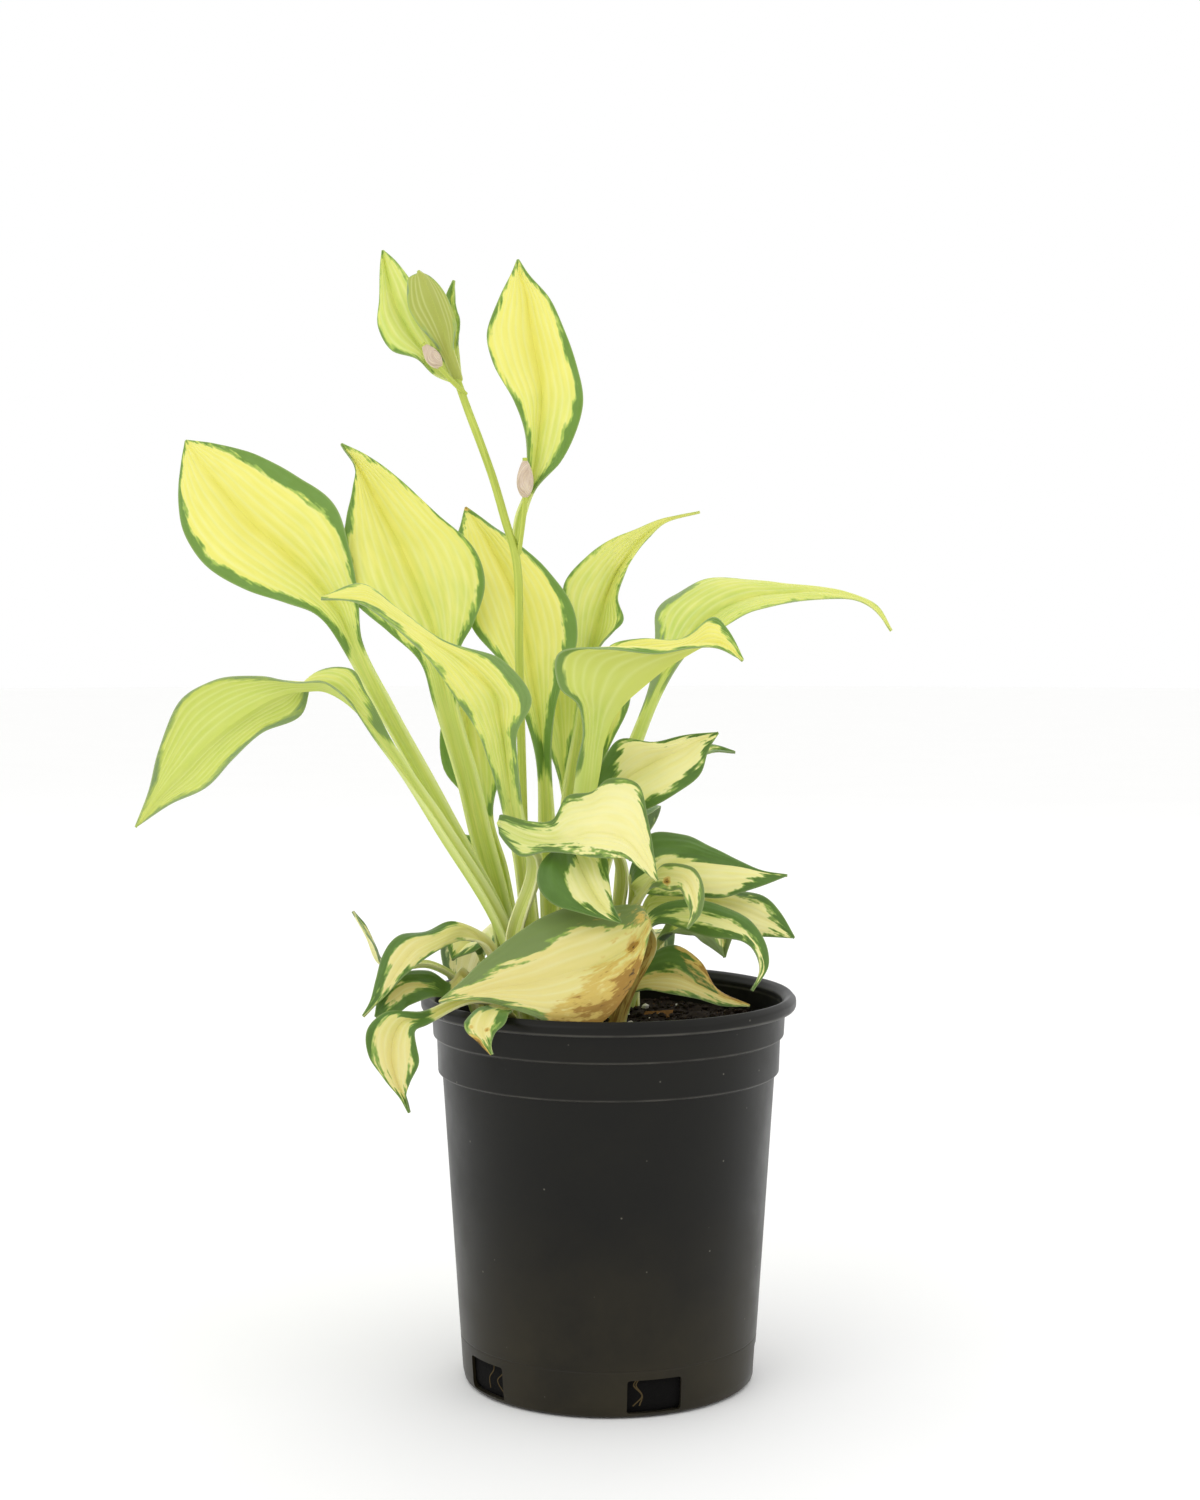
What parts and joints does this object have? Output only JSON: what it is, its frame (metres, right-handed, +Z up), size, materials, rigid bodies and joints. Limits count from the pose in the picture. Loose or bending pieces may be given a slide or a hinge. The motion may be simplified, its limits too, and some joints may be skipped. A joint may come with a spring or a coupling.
{
  "type": "potted hosta plant",
  "caption": "Young hosta with lime and cream leaves edged in green, arching on channelled stalks round a leafy flower stem, in a tapered black nursery pot.",
  "frame": {"origin": "centre of the pot's flat underside, on the pot's axis", "axes": "+Z up along the pot's axis, -Y towards the front of the plant, +X to the plant's right as seen from the front"},
  "size_m": [0.335, 0.2306, 0.4981],
  "materials": {
    "pot_plastic": "semi-matte moulded black plastic",
    "potting_soil": "crumbly dark peat and composted bark",
    "flower_stem": "smooth waxy green stem and bracts",
    "leaf_lime": "satin lime-yellow leaf with a green margin",
    "leaf_cream": "satin cream leaf with a dark green margin"
  },
  "bodies": {
    "root": {"pot": "pot_plastic", "soil": "potting_soil", "flower_scape": "flower_stem", "leaf_upper_left": "leaf_lime", "leaf_upper_middle": "leaf_lime", "leaf_arching_middle": "leaf_lime", "leaf_drooping_left": "leaf_lime", "leaf_upper_centre": "leaf_lime", "leaf_upper_right": "leaf_lime", "leaf_far_right": "leaf_lime", "leaf_arching_right": "leaf_lime", "leaf_inner_left": "leaf_lime", "leaf_inner_small": "leaf_lime", "leaf_right_cream": "leaf_cream", "leaf_right_tip": "leaf_cream", "leaf_front_curled": "leaf_cream", "leaf_front_small": "leaf_cream", "leaf_right_green": "leaf_cream", "leaf_right_pale": "leaf_cream", "leaf_right_drooping": "leaf_cream", "leaf_curled_cream": "leaf_cream", "leaf_right_shaded": "leaf_cream", "leaf_front_large": "leaf_cream", "leaf_right_front": "leaf_cream", "leaf_over_rim": "leaf_cream", "leaf_hanging_left": "leaf_cream", "leaf_left_cream": "leaf_cream", "leaf_left_sliver": "leaf_cream", "leaf_left_dark": "leaf_cream", "leaf_left_shaded": "leaf_cream", "leaf_back_tall": "leaf_lime", "leaf_back_bent": "leaf_lime", "leaf_back_low": "leaf_cream", "leaf_back_rim_left": "leaf_cream", "leaf_back_rim_right": "leaf_cream"}
  },
  "joints": []
}
